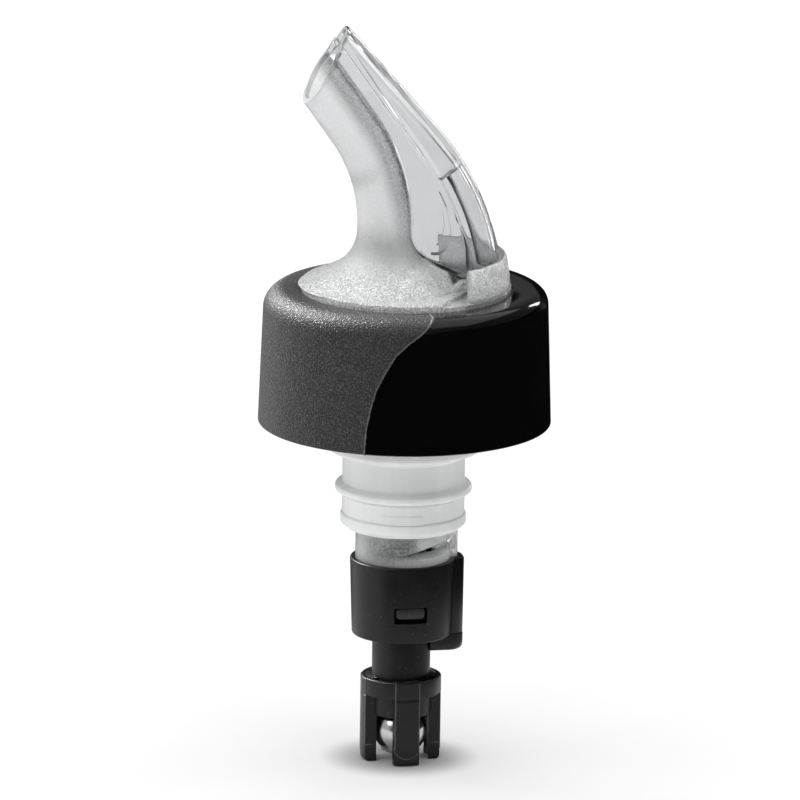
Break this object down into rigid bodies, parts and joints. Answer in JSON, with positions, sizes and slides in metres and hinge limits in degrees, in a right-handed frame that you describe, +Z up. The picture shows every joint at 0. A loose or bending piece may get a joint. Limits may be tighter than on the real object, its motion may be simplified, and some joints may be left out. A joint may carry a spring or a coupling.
{
  "type": "measured liquor pourer",
  "caption": "Metering pourer for a bottle neck, with a bent clear spout, a dark collar, a ribbed stopper and balls that time the pour.",
  "frame": {"origin": "on the bottle's axis, level with the tips of the ball cage", "axes": "+Z up the bottle's axis to the spout; the spout leans to -X; the air passage is on the +X side; the XZ plane is the plane of symmetry"},
  "size_m": [0.0476, 0.0476, 0.1223],
  "materials": {
    "clear_plastic": "clear moulded plastic, frosted on the tube and the stem",
    "collar_plastic": "black, fine texture in front and polished behind",
    "stopper_plastic": "soft white, slightly translucent",
    "black_plastic": "satin black",
    "ball_steel": "polished"
  },
  "bodies": {
    "pourer": {"pour_spout": "clear_plastic", "collar": "collar_plastic", "stopper": "stopper_plastic", "coupling_sleeve": "black_plastic", "metering_tube": "black_plastic", "ball_cage": "black_plastic", "breather_cap": "black_plastic"},
    "check_ball_body": {"check_ball": "ball_steel"},
    "cutoff_ball_body": {"cutoff_ball": "ball_steel"},
    "breather_ball_body": {"breather_ball": "ball_steel"}
  },
  "joints": [
    {"name": "check_ball_slide", "type": "slide", "parent": "pourer", "child": "check_ball_body", "axis": [0, 0, 1], "range_m": [0, 0.00248]},
    {"name": "cutoff_ball_slide", "type": "slide", "parent": "pourer", "child": "cutoff_ball_body", "axis": [0, 0, 1], "range_m": [0, 0.02421]},
    {"name": "breather_ball_slide", "type": "slide", "parent": "pourer", "child": "breather_ball_body", "axis": [0, 0, 1], "range_m": [0, 0.00411]}
  ]
}
